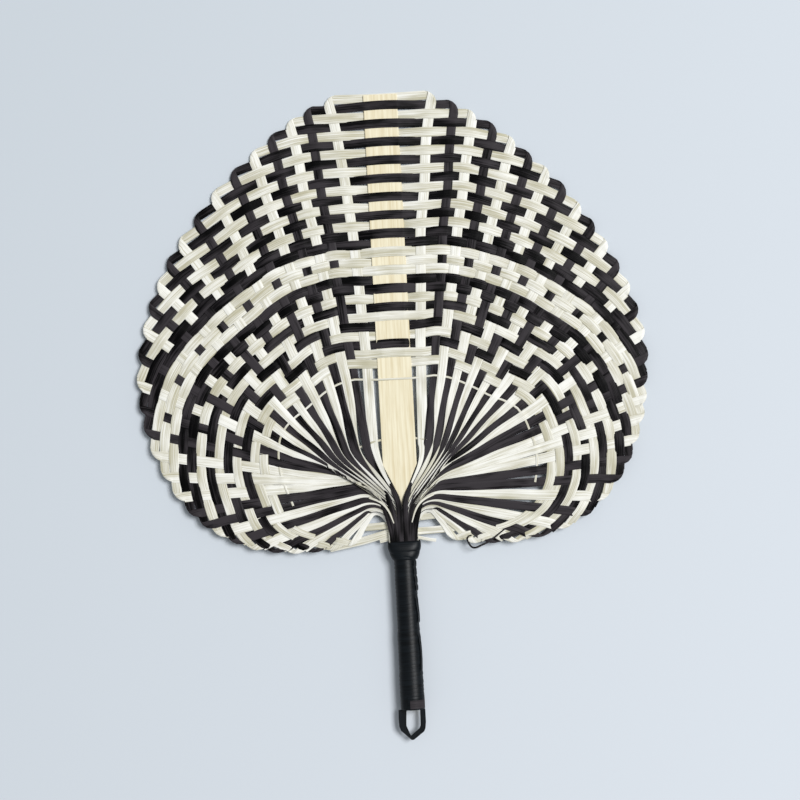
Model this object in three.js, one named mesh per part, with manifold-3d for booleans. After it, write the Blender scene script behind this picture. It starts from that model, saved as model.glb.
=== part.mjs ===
// Woven bamboo hand fan, in millimetres, +Z up, lying on its back with the woven face up.
// Thirty thin strips make the blade. Each one rises from the neck on the left, folds at the
// scalloped edge, crosses the blade as one row, folds again and returns to the neck.
import * as THREE from 'three';
import Module from 'manifold-3d';

const wasm = await Module();
wasm.setup();

// Strips of the blade, woven one by one down to the last plain row and two by two below it
const stripCount = 30;
const stripWidth = 4.4;
const stripThickness = 0.2;
const rowGap = 1.3;
const slantedRowGap = 0.72;
const weaveClearance = 0.12;
const foldRadius = 0.34;
const foldRunout = 3.5;
const plainRows = 23;
const plainRise = 0.9;
const twillRepeat = 4;

// Strips whose colours break the change from natural to black
const naturalBand = [18, 19, 20];
const dyedBand = [17, 21, 22];

// Edge of the blade, one half, from the top corner down to the neck
const bladeTop = 275;
const cornerHalfWidth = 30;
const bladeHalfWidth = 158.5;
const widestHeight = 102;
const lobeHalfWidth = 63;
const lobeHeight = -3.5;
const lastFoldHalfWidth = 19;
const lastFoldHeight = 5;

// How far the edge's curves keep their direction before they turn
const cornerRun = 32;
const cornerDrop = 8.5;
const shoulderRun = 90;
const flankRun = 10.5;
const lobeRun = 89;
const lobeFlat = 15.4;
const lastFoldRun = 16;
const lastFoldDip = 8;

// Throat, where the strips draw in a little, turn on edge and bend towards the neck
const throatDrawIn = 0.45;
const firstBend = new THREE.Vector2(15, 58.5);
const lastBend = new THREE.Vector2(19.5, 22);
const firstBendRun = 34;
const firstBendDrop = 0.5;
const lastBendSpread = 9.5;
const lastBendRise = 16;
const firstBendReach = 12;
const lastBendReach = 5.5;
const splintRunout = 5.3;
const releaseTurn = THREE.MathUtils.degToRad(4);
const halfTurn = THREE.MathUtils.degToRad(45);
const halfTurnShare = 0.6;
const bendSteps = 6;

// Neck, where the strips lie side by side on edge beside the tang
const firstNeckTurn = 26;
const lastNeckTurn = 11;
const firstNeckTop = 17;
const lastNeckTop = 5.5;
const neckStripGap = 0.06;
const tangSideGap = 0.15;
const neckBottom = -11;

// Centre slat, with its pointed shoulders and its tang
const slatWidth = 21;
const slatThickness = 1;
const slatOverhang = 2;
const slatShoulderHeight = 47;
const slatTipHeight = 28.5;
const tangWidth = 2.4;
const tangDepth = 28;

// Splints across the open strips
const splintWidth = 1.3;
const splintThickness = 0.4;
const outerSplintDrop = 9.69;
const outerSplintStrips = 22;
const innerSplintHeight = 63.5;
const innerSplintSpread = 38.5;
const innerSplintRise = 22;
const innerSplintEndSpread = 10.5;
const innerSplintEndDrop = 5;
const innerSplintSteps = 12;

// Handle
const handleLength = 104;
const coreHalfWidth = 6.4;
const coreHalfDepth = 5.6;
const coreTopGap = 0.4;
const handleSides = 16;
const fitGap = 0.3;
const windingThickness = 0.5;
const windingTurns = 14;
const windingGap = 0.55;
const bandLength = 8;
const bandThickness = 1;
const bandEdge = 0.3;

// Collar
const collarLength = 11.6;
const collarTurns = 2;
const collarWall = 0.3;
const collarDepthWall = 0.75;
const collarBulge = 0.4;
const collarCorner = 1.6;
const boreCorner = 0.3;
const cornerSteps = 4;
const bulgeSteps = 4;

// Hanging loop
const loopThickness = 0.8;
const loopStripWidth = 3.5;
const loopHalfWidth = 7.6;
const loopLength = 19;
const loopShoulder = 11;
const loopTipHalfWidth = 2.4;
const loopEyeTipHalfWidth = 0.7;
const loopRootGap = 0.5;

// Materials
const bamboo = new THREE.MeshStandardMaterial({ color: 0xe1dabe, roughness: 0.6, metalness: 0 });
const slatBamboo = new THREE.MeshStandardMaterial({ color: 0xf0e1b4, roughness: 0.65, metalness: 0 });
const dyedBamboo = new THREE.MeshStandardMaterial({ color: 0x28242a, roughness: 0.5, metalness: 0 });
const glossyBlack = new THREE.MeshStandardMaterial({ color: 0x191c1e, roughness: 0.3, metalness: 0 });
const handleWood = new THREE.MeshStandardMaterial({ color: 0xcdb98a, roughness: 0.7, metalness: 0 });

const up = new THREE.Vector3(0, 0, 1);
const onEdge = Math.PI / 2;
const rowPitch = stripWidth + rowGap;
const outerSplintRow = stripCount + outerSplintDrop / rowPitch;
const halfStrip = stripWidth / 2;
const halfSlat = slatWidth / 2;
const halfTang = tangWidth / 2;
const neckStripPitch = stripThickness + neckStripGap;
const neckHalfWidth = halfTang + tangSideGap + stripCount * neckStripPitch;
const flatThickness = up.clone().multiplyScalar(stripThickness / 2);

function spatial(point, height = 0) {
  return new THREE.Vector3(point.x, point.y, height);
}

function shifted(point, direction, distance) {
  return point.clone().addScaledVector(direction, distance);
}

// The folds lie at equal steps along this edge.
function bladeEdge() {
  const corner = new THREE.Vector2(cornerHalfWidth, bladeTop);
  const widest = new THREE.Vector2(bladeHalfWidth, widestHeight);
  const lobe = new THREE.Vector2(lobeHalfWidth, lobeHeight);
  const last = new THREE.Vector2(lastFoldHalfWidth, lastFoldHeight);
  const edge = new THREE.CurvePath();
  edge.add(new THREE.CubicBezierCurve(
    corner,
    new THREE.Vector2(corner.x + cornerRun, corner.y - cornerDrop),
    new THREE.Vector2(widest.x, widest.y + shoulderRun),
    widest,
  ));
  edge.add(new THREE.CubicBezierCurve(
    widest,
    new THREE.Vector2(widest.x, widest.y - flankRun),
    new THREE.Vector2(lobe.x + lobeRun, lobe.y),
    lobe,
  ));
  edge.add(new THREE.CubicBezierCurve(
    lobe,
    new THREE.Vector2(lobe.x - lobeFlat, lobe.y),
    new THREE.Vector2(last.x + lastFoldRun, last.y - lastFoldDip),
    last,
  ));
  return edge;
}

// Items that a row crosses on the right half: the slat is item 0, strip k is item k.
function layOutStrips() {
  const edge = bladeEdge();
  const bends = new THREE.CubicBezierCurve(
    firstBend,
    new THREE.Vector2(firstBend.x + firstBendRun, firstBend.y - firstBendDrop),
    new THREE.Vector2(lastBend.x + lastBendSpread, lastBend.y + lastBendRise),
    lastBend,
  );
  const slatItem = {
    fold: new THREE.Vector2(0, bladeTop + rowPitch),
    inward: new THREE.Vector2(0, -1),
  };
  const laidOut = [slatItem];
  for (let k = 1; k <= stripCount; k += 1) {
    const share = (k - 1) / (stripCount - 1);
    const fold = edge.getPoint(share);
    const bend = bends.getPoint(share);
    const inward = bend.clone().sub(fold).normalize();
    laidOut.push({ fold, bend, inward, length: bend.distanceTo(fold), share });
  }
  return laidOut;
}

const items = layOutStrips();

// Point where a row, counted from the top, crosses an item
function crossing(row, item) {
  return shifted(items[item].fold, items[item].inward, (row - item) * rowPitch);
}

function inFront(row, item) {
  if (row <= plainRows) {
    return (row + item) % 2 === 0;
  }
  return THREE.MathUtils.euclideanModulo(item - row + 1, twillRepeat) < twillRepeat / 2;
}

// Half width vector of a row along the item it crosses; where they cross aslant the row is
// drawn in a little, so that it stays clear of the rows beside it.
function halfWidthAlong(item, heading) {
  const inward = items[item].inward;
  const slant = Math.abs(heading.cross(inward));
  const reach = Math.min(halfStrip / slant, (rowPitch - slantedRowGap) / 2);
  return inward.clone().multiplyScalar(-reach);
}

function indexedGeometry(positions, indices) {
  const geometry = new THREE.BufferGeometry();
  geometry.setAttribute('position', new THREE.Float32BufferAttribute(positions, 3));
  geometry.setIndex(indices);
  geometry.computeVertexNormals();
  return geometry;
}

// Closed strip through sections, each a centre, a half width and a half thickness vector
function stripGeometry(sections) {
  const positions = [];
  const indices = [];
  for (const { centre, width, thickness } of sections) {
    for (const [across, through] of [[-1, -1], [1, -1], [1, 1], [-1, 1]]) {
      const corner = centre.clone().addScaledVector(width, across).addScaledVector(thickness, through);
      positions.push(corner.x, corner.y, corner.z);
    }
  }
  for (let i = 0; i < sections.length - 1; i += 1) {
    for (let side = 0; side < 4; side += 1) {
      const a = 4 * i + side;
      const b = 4 * i + ((side + 1) % 4);
      // Both faces of a twisted stretch are split along the same diagonal.
      if (side < 2) {
        indices.push(a, b, b + 4, a, b + 4, a + 4);
      } else {
        indices.push(a, b, a + 4, b, b + 4, a + 4);
      }
    }
  }
  const last = 4 * (sections.length - 1);
  indices.push(0, 2, 1, 0, 3, 2, last, last + 1, last + 2, last, last + 2, last + 3);
  return indexedGeometry(positions, indices);
}

// Row that is woven one by one: it rises over or dips under at each strip it crosses
function plainSections(k, route) {
  const sections = [];
  for (let j = 1; j < k; j += 1) {
    const heading = route[j + 1].clone().sub(route[j - 1]).normalize();
    sections.push({
      centre: spatial(route[j], inFront(k, j) ? plainRise : -plainRise),
      width: spatial(halfWidthAlong(j, heading)),
      thickness: flatThickness,
    });
  }
  return sections;
}

// Row that is woven two by two: it runs level over or under a pair of strips
function twillSections(k, route) {
  const rise = stripThickness + 3 * weaveClearance;
  const sections = [];
  for (let j = 1; j < k; j += 1) {
    const heading = route[j + 1].clone().sub(route[j - 1]).normalize();
    const width = spatial(halfWidthAlong(j, heading));
    const front = inFront(k, j);
    const level = front ? rise : -rise;
    const slant = Math.abs(heading.cross(items[j].inward));
    const reach = (halfStrip + weaveClearance) / slant;
    if (j === 1 || inFront(k, j - 1) !== front) {
      const start = shifted(route[j], heading, -reach);
      sections.push({ centre: spatial(start, level), width, thickness: flatThickness });
    }
    if (j === k - 1 || inFront(k, j + 1) !== front) {
      const end = shifted(route[j], heading, reach);
      sections.push({ centre: spatial(end, level), width, thickness: flatThickness });
    }
  }
  return sections;
}

// Row of strip k from the slat out to the fold, on the right half
function rowSections(k) {
  const slatLevel = slatThickness / 2 + stripThickness / 2 + 2 * weaveClearance;
  const slatEdge = new THREE.Vector2(halfSlat + 2 * weaveClearance, crossing(k, 0).y);
  const overSlat = {
    centre: spatial(slatEdge, inFront(k, 0) ? slatLevel : -slatLevel),
    width: new THREE.Vector3(0, halfStrip, 0),
    thickness: flatThickness,
  };
  const route = [slatEdge];
  for (let j = 1; j < k; j += 1) {
    route.push(crossing(k, j));
  }
  route.push(items[k].fold);
  const woven = k <= plainRows ? plainSections(k, route) : twillSections(k, route);
  return [overSlat, ...woven];
}

// Fold of strip k at the edge: the row lies behind, the strip going down lies in front
function foldSections(k) {
  const { fold, inward } = items[k];
  const previous = k === 1 ? new THREE.Vector2(halfSlat, crossing(1, 0).y) : crossing(k, k - 1);
  const outward = inward.clone().negate();
  const along = previous.clone().sub(fold).normalize();
  const crease = outward.clone().add(along).normalize();
  const proud = outward.clone().sub(along).normalize();
  const halfCrease = spatial(crease.multiplyScalar(halfStrip / Math.abs(outward.cross(crease))));
  const sections = [];
  if (k > plainRows) {
    sections.push({
      centre: spatial(shifted(fold, along, foldRunout), -2 * foldRadius),
      width: new THREE.Vector3(along.y, -along.x, 0).multiplyScalar(halfStrip),
      thickness: flatThickness,
    });
  }
  sections.push({ centre: spatial(fold, -2 * foldRadius), width: halfCrease, thickness: flatThickness });
  sections.push({
    centre: spatial(shifted(fold, proud, foldRadius), -foldRadius),
    width: halfCrease,
    thickness: spatial(proud.multiplyScalar(-stripThickness / 2)),
  });
  sections.push({
    centre: spatial(fold),
    width: halfCrease,
    thickness: flatThickness.clone().negate(),
  });
  return sections;
}

// Section of a strip seen along its way inward, tilted so that its slat side is raised
function tiltedSection(point, height, heading, tilt, width = stripWidth - throatDrawIn) {
  const sideways = new THREE.Vector3(heading.y, -heading.x, 0);
  const across = sideways.clone().multiplyScalar(Math.cos(tilt)).addScaledVector(up, Math.sin(tilt));
  const through = sideways.clone().multiplyScalar(Math.sin(tilt)).addScaledVector(up, -Math.cos(tilt));
  return {
    centre: spatial(point, height),
    width: across.multiplyScalar(width / 2),
    thickness: through.multiplyScalar(stripThickness / 2),
  };
}

// Strip k from its fold in to the neck, on the right half
function spokeSections(k) {
  const { fold, bend, inward, length, share } = items[k];
  const sections = [];
  const weaveEdge = (stripCount - k + 0.5) * rowPitch + halfStrip;
  const splintDepth = (outerSplintRow - k) * rowPitch;
  let release = weaveEdge;
  let releaseTilt = 0;
  if (k <= outerSplintStrips) {
    const lift = (stripThickness + splintThickness) / 2 + 2 * weaveClearance;
    sections.push(tiltedSection(shifted(fold, inward, weaveEdge), 0, inward, 0, stripWidth));
    sections.push(tiltedSection(shifted(fold, inward, splintDepth), k % 2 ? lift : -lift, inward, 0));
    release = splintDepth + splintRunout;
    releaseTilt = releaseTurn;
  }
  const turning = THREE.MathUtils.lerp(release, length, halfTurnShare);
  sections.push(tiltedSection(shifted(fold, inward, release), 0, inward, releaseTilt));
  sections.push(tiltedSection(shifted(fold, inward, turning), 0, inward, halfTurn));
  const neckX = halfTang + tangSideGap + stripThickness / 2 + neckStripPitch * (k - 1);
  const curve = new THREE.CubicBezierCurve(
    bend,
    shifted(bend, inward, THREE.MathUtils.lerp(firstBendReach, lastBendReach, share)),
    new THREE.Vector2(neckX, THREE.MathUtils.lerp(firstNeckTurn, lastNeckTurn, share)),
    new THREE.Vector2(neckX, THREE.MathUtils.lerp(firstNeckTop, lastNeckTop, share)),
  );
  for (let i = 0; i <= bendSteps; i += 1) {
    const way = i / bendSteps;
    sections.push(tiltedSection(curve.getPoint(way), 0, curve.getTangent(way), onEdge));
  }
  sections.push(tiltedSection(new THREE.Vector2(neckX, neckBottom), 0, curve.getTangent(1), onEdge));
  return sections;
}

function mirrored(section) {
  const flip = new THREE.Vector3(-1, 1, 1);
  return {
    centre: section.centre.clone().multiply(flip),
    width: section.width.clone().multiply(flip),
    thickness: section.thickness.clone().multiply(flip),
  };
}

// Both halves of a piece whose right half runs outward from the middle
function bothHalves(right) {
  return [...right.map(mirrored).reverse(), ...right];
}

function wovenStrip(k) {
  return stripGeometry(bothHalves([...rowSections(k), ...foldSections(k), ...spokeSections(k)]));
}

// Dyed strips alternate with natural ones, apart from the bands and the last strip.
function isDyed(k) {
  const alternate = k % 2 === 0 && k < stripCount;
  return dyedBand.includes(k) || (alternate && !naturalBand.includes(k));
}

function centreSlat() {
  const shape = new THREE.Shape();
  shape.moveTo(-halfTang, -tangDepth);
  shape.lineTo(halfTang, -tangDepth);
  shape.lineTo(halfTang, slatTipHeight);
  shape.lineTo(halfSlat, slatShoulderHeight);
  shape.lineTo(halfSlat, bladeTop + slatOverhang);
  shape.lineTo(-halfSlat, bladeTop + slatOverhang);
  shape.lineTo(-halfSlat, slatShoulderHeight);
  shape.lineTo(-halfTang, slatTipHeight);
  const geometry = new THREE.ExtrudeGeometry(shape, { depth: slatThickness, bevelEnabled: false });
  return geometry.translate(0, 0, -slatThickness / 2);
}

function splintSection(point, height, heading) {
  return {
    centre: spatial(point, height),
    width: new THREE.Vector3(-heading.y, heading.x, 0).multiplyScalar(splintWidth / 2),
    thickness: up.clone().multiplyScalar(splintThickness / 2),
  };
}

// Outer splint: over the slat, then under and over the strips one by one
function outerSplint() {
  const level = slatThickness / 2 + splintThickness / 2 + weaveClearance;
  const across = new THREE.Vector2(1, 0);
  const slatSide = new THREE.Vector2(halfSlat + weaveClearance, crossing(outerSplintRow, 0).y);
  const right = [splintSection(slatSide, level, across)];
  for (let j = 1; j <= outerSplintStrips; j += 1) {
    const point = crossing(outerSplintRow, j);
    const before = crossing(outerSplintRow, j - 1);
    const after = crossing(outerSplintRow, Math.min(j + 1, outerSplintStrips));
    const heading = after.sub(before).normalize();
    if (j === 1) {
      right.push(splintSection(shifted(point, heading, -halfStrip - 2 * weaveClearance), 0, heading));
    }
    const end = j === outerSplintStrips ? shifted(point, heading, halfStrip) : point;
    right.push(splintSection(end, 0, heading));
  }
  return stripGeometry(bothHalves(right));
}

// Inner splint: an arch behind all the strips, just outside the place where they gather
function innerSplint() {
  const level = -(halfStrip + stripThickness + splintThickness / 2 + fitGap);
  const half = new THREE.CubicBezierCurve(
    new THREE.Vector2(0, innerSplintHeight),
    new THREE.Vector2(2 * firstBend.x, innerSplintHeight),
    new THREE.Vector2(lastBend.x + innerSplintSpread, lastBend.y + innerSplintRise),
    new THREE.Vector2(lastBend.x + innerSplintEndSpread, lastBend.y - innerSplintEndDrop),
  );
  const right = [];
  for (let i = 1; i <= innerSplintSteps; i += 1) {
    const way = i / innerSplintSteps;
    right.push(splintSection(half.getPoint(way), level, half.getTangent(way)));
  }
  return stripGeometry(bothHalves(right));
}

// Corner i of the handle's oval, grown outward by a distance, with a flat side down
function ovalPoint(i, growth) {
  const angle = (i + 0.5) * 2 * Math.PI / handleSides;
  return new THREE.Vector2(
    (coreHalfWidth + growth) * Math.cos(angle),
    (coreHalfDepth + growth) * Math.sin(angle),
  );
}

function ovalLoop(growth) {
  const loop = [];
  for (let i = 0; i < handleSides; i += 1) {
    loop.push(ovalPoint(i, growth));
  }
  return loop;
}

function toSolid(geometry) {
  const flat = geometry.index ? geometry.toNonIndexed() : geometry;
  const source = flat.getAttribute('position');
  const known = new Map();
  const vertProperties = [];
  const triVerts = [];
  for (let i = 0; i < source.count; i += 1) {
    const corner = [source.getX(i), source.getY(i), source.getZ(i)];
    const key = corner.map((value) => value.toFixed(4)).join(' ');
    if (!known.has(key)) {
      known.set(key, vertProperties.length / 3);
      vertProperties.push(...corner);
    }
    triVerts.push(known.get(key));
  }
  return new wasm.Manifold(new wasm.Mesh({
    numProp: 3,
    vertProperties: new Float32Array(vertProperties),
    triVerts: new Uint32Array(triVerts),
  }));
}

function fromSolid(solid) {
  const { vertProperties, triVerts, numProp } = solid.getMesh();
  const positions = [];
  for (const vertex of triVerts) {
    positions.push(...vertProperties.slice(vertex * numProp, vertex * numProp + 3));
  }
  const geometry = new THREE.BufferGeometry();
  geometry.setAttribute('position', new THREE.Float32BufferAttribute(positions, 3));
  geometry.computeVertexNormals();
  return geometry;
}

// Handle stick, slotted for the slat's tang
function handleCore(bladeTilt) {
  const top = -collarLength - coreTopGap;
  const stick = new THREE.ExtrudeGeometry(
    new THREE.Shape(ovalLoop(0)),
    { depth: handleLength + top, bevelEnabled: false },
  );
  stick.rotateX(onEdge).translate(0, top, 0);
  const slot = new THREE.BoxGeometry(
    tangWidth + 2 * fitGap,
    2 * (tangDepth + 2 * fitGap),
    slatThickness + 2 * fitGap,
  );
  slot.rotateX(-bladeTilt);
  return fromSolid(toSolid(stick).subtract(toSolid(slot)));
}

// Flat black strip wound down the handle, one unbroken turn after another
function windingSections() {
  const room = handleLength - collarLength - bandLength - 2 * fitGap;
  const windingStripWidth = (room - windingTurns * windingGap) / (windingTurns + 1);
  const top = -collarLength - fitGap - windingStripWidth / 2;
  const bottom = top - windingTurns * (windingStripWidth + windingGap);
  const steps = windingTurns * handleSides;
  const sections = [];
  for (let i = 0; i <= steps; i += 1) {
    const inner = ovalPoint(i, fitGap);
    const outer = ovalPoint(i, fitGap + windingThickness);
    const y = THREE.MathUtils.lerp(top, bottom, i / steps);
    sections.push({
      centre: new THREE.Vector3((inner.x + outer.x) / 2, y, (inner.y + outer.y) / 2),
      width: new THREE.Vector3(0, -windingStripWidth / 2, 0),
      thickness: new THREE.Vector3((outer.x - inner.x) / 2, 0, (outer.y - inner.y) / 2),
    });
  }
  return sections;
}

function leastGapBetweenTurns(sections) {
  let least = Infinity;
  for (let i = 0; i + handleSides < sections.length; i += 1) {
    const lowerEdge = sections[i].centre.clone().add(sections[i].width);
    const next = sections[i + handleSides];
    const upperEdge = next.centre.clone().sub(next.width);
    least = Math.min(least, lowerEdge.distanceTo(upperEdge));
  }
  return least;
}

// Ring lofted round the handle through loops in X and Z, each at its height, from the bore's
// top over the outside to the bore's bottom
function loftedRing(levels) {
  const count = levels[0].loop.length;
  const positions = [];
  const indices = [];
  for (const { loop, y } of levels) {
    for (const point of loop) {
      positions.push(point.x, y, point.y);
    }
  }
  for (let level = 0; level < levels.length; level += 1) {
    const next = (level + 1) % levels.length;
    for (let i = 0; i < count; i += 1) {
      const a = level * count + i;
      const b = level * count + ((i + 1) % count);
      const c = next * count + ((i + 1) % count);
      const d = next * count + i;
      indices.push(a, b, c, a, c, d);
    }
  }
  return indexedGeometry(positions, indices);
}

function roundedLoop(halfWidth, halfDepth, radius) {
  const path = new THREE.Path();
  path.absarc(halfWidth - radius, -halfDepth + radius, radius, -Math.PI / 2, 0);
  path.absarc(halfWidth - radius, halfDepth - radius, radius, 0, Math.PI / 2);
  path.absarc(-halfWidth + radius, halfDepth - radius, radius, Math.PI / 2, Math.PI);
  path.absarc(-halfWidth + radius, -halfDepth + radius, radius, Math.PI, 1.5 * Math.PI);
  return path.getPoints(cornerSteps).slice(0, -1);
}

// Collar: turns of black strip round the neck of strips, each bulging out between its edges
function collarBinding() {
  const boreHalfWidth = neckHalfWidth + fitGap;
  const boreHalfDepth = halfStrip + 2 * fitGap;
  const bore = roundedLoop(boreHalfWidth, boreHalfDepth, boreCorner);
  const turnLength = collarLength / collarTurns;
  const levels = [{ loop: bore, y: 0 }];
  for (let step = 0; step <= collarTurns * bulgeSteps; step += 1) {
    const bulge = collarBulge * Math.abs(Math.sin(Math.PI * step / bulgeSteps));
    const halfWidth = boreHalfWidth + collarWall + bulge;
    const halfDepth = boreHalfDepth + collarDepthWall + bulge;
    levels.push({
      loop: roundedLoop(halfWidth, halfDepth, collarCorner),
      y: -turnLength * step / bulgeSteps,
    });
  }
  levels.push({ loop: bore, y: -collarLength });
  return loftedRing(levels);
}

// End band: a wider strip round the handle's end, with its edges broken
function endBand() {
  const top = -handleLength + bandLength;
  const bore = ovalLoop(fitGap);
  const edge = ovalLoop(fitGap + bandThickness - bandEdge);
  const face = ovalLoop(fitGap + bandThickness);
  return loftedRing([
    { loop: bore, y: top },
    { loop: edge, y: top },
    { loop: face, y: top - bandEdge },
    { loop: face, y: -handleLength + bandEdge },
    { loop: edge, y: -handleLength },
    { loop: bore, y: -handleLength },
  ]);
}

// Loop of flat strip, folded to a blunt point; y = 0 is its root
function hangingLoop() {
  const eyeHalfWidth = loopHalfWidth - loopStripWidth;
  const eyeTip = -loopLength + loopStripWidth;
  const shape = new THREE.Shape();
  shape.moveTo(loopHalfWidth, 0);
  shape.lineTo(eyeHalfWidth, 0);
  shape.lineTo(eyeHalfWidth, -loopShoulder);
  shape.lineTo(loopEyeTipHalfWidth, eyeTip);
  shape.lineTo(-loopEyeTipHalfWidth, eyeTip);
  shape.lineTo(-eyeHalfWidth, -loopShoulder);
  shape.lineTo(-eyeHalfWidth, 0);
  shape.lineTo(-loopHalfWidth, 0);
  shape.lineTo(-loopHalfWidth, -loopShoulder);
  shape.lineTo(-loopTipHalfWidth, -loopLength);
  shape.lineTo(loopTipHalfWidth, -loopLength);
  shape.lineTo(loopHalfWidth, -loopShoulder);
  const geometry = new THREE.ExtrudeGeometry(shape, { depth: loopThickness, bevelEnabled: false });
  return geometry.translate(0, 0, -loopThickness / 2);
}

function named(name, geometry, material) {
  const mesh = new THREE.Mesh(geometry, material);
  mesh.name = name;
  return mesh;
}

// The handle lies on its end band, and the blade slopes down to rest on its top rows.
const handleHeight = (coreHalfDepth + fitGap + bandThickness) * Math.cos(Math.PI / handleSides);
const bladeRest = plainRise + stripThickness;
const bladeTilt = Math.atan((handleHeight - bladeRest) / bladeTop);

const blade = new THREE.Group();
blade.rotation.x = -bladeTilt;
blade.add(named('centre_slat', centreSlat(), slatBamboo));
for (let k = 1; k <= stripCount; k += 1) {
  const colour = isDyed(k) ? 'black' : 'natural';
  const name = `strip_${String(k).padStart(2, '0')}_${colour}`;
  blade.add(named(name, wovenStrip(k), isDyed(k) ? dyedBamboo : bamboo));
}
blade.add(named('splint_outer', outerSplint(), bamboo));
blade.add(named('splint_inner', innerSplint(), bamboo));

const handle = new THREE.Group();
const winding = windingSections();
console.log(`least gap between the winding's turns: ${leastGapBetweenTurns(winding).toFixed(2)} mm`);
handle.add(named('handle_core', handleCore(bladeTilt), handleWood));
handle.add(named('handle_winding', stripGeometry(winding), glossyBlack));
handle.add(named('collar_binding', collarBinding(), glossyBlack));
handle.add(named('end_band', endBand(), glossyBlack));
const loop = named('hanging_loop', hangingLoop(), glossyBlack);
loop.position.y = -handleLength - loopRootGap;
handle.add(loop);

const laid = new THREE.Group();
laid.add(blade, handle);
laid.position.z = handleHeight;

// Origin under the middle of the whole fan
const fan = new THREE.Group();
fan.add(laid);
const extent = new THREE.Box3().setFromObject(fan, true);
const middle = extent.getCenter(new THREE.Vector3());
laid.position.x = -middle.x;
laid.position.y = -middle.y;

export default fan;
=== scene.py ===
# Woven bamboo hand fan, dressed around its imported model. Metres, +Z up, handle towards -Y.
import math
import random
from types import SimpleNamespace

import bmesh
import bpy
import numpy as np
from mathutils import Matrix, Vector, noise


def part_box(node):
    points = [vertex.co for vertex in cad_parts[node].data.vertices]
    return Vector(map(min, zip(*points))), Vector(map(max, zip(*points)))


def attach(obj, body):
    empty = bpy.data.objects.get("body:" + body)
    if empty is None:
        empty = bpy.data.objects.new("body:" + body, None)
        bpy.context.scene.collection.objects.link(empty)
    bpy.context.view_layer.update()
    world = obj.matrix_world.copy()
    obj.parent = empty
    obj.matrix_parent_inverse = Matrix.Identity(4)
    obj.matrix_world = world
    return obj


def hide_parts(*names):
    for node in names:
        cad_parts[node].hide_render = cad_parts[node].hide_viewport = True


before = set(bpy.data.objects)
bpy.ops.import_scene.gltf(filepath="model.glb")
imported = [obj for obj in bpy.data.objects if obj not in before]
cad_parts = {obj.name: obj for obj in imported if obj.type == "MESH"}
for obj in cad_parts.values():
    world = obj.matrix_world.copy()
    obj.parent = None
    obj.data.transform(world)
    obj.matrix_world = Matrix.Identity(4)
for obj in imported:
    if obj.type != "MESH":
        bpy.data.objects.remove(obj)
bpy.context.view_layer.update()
scene = bpy.context.scene


# Camera
# The photograph looks straight down on the fan, which lies turned a little in the picture.
# The picture's side spans 496 mm at the height of the blade.
picture_span = 0.496
picture_turn = math.radians(-3.1)
picture_middle = Vector((0.0023, 0.0098, 0.0035))
camera_distance = 1.1
camera_data = bpy.data.cameras.new("photo_camera")
camera_data.sensor_width = 36
camera_data.lens = camera_data.sensor_width * camera_distance / picture_span
camera = bpy.data.objects.new("photo_camera", camera_data)
camera.location = picture_middle + Vector((0, 0, camera_distance))
camera.rotation_euler = (0, 0, picture_turn)
scene.collection.objects.link(camera)
scene.camera = camera


# Centre slat
# One flat piece of pale planed bamboo down the middle of the blade, with pointed shoulders above
# a narrow tang that is held in the handle. Its edges are broken a little, as a knife leaves them.
_, slat_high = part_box("centre_slat")
_, collar_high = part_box("collar_binding")
band_low, band_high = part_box("end_band")
slat_half_width = slat_high.x
slat_thickness = 0.001
slat_top = 0.277
shoulder_height = 0.047
tip_height = 0.0268
tang_half_width = 0.0012
tang_depth = 0.028
slat_edge_round = 0.00018
sharp_edge = math.radians(38)

# The blade is measured from the collar's top. It leans down from the handle's middle line to rest
# on its top rows.
blade_top = 0.275
blade_rest = 0.0011
handle_height = (band_low.z + band_high.z) / 2
blade_tilt = math.atan((handle_height - blade_rest) / blade_top)
neck_place = Matrix.Translation((0, collar_high.y, handle_height))
blade_place = neck_place @ Matrix.Rotation(-blade_tilt, 4, "X")

# The grain of bamboo: how closely it varies along the piece and across it, and how deep it is.
fibres_along = 22
blotches_along = 38
blotches_across = 160
fibre_depth = 0.00012


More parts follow.
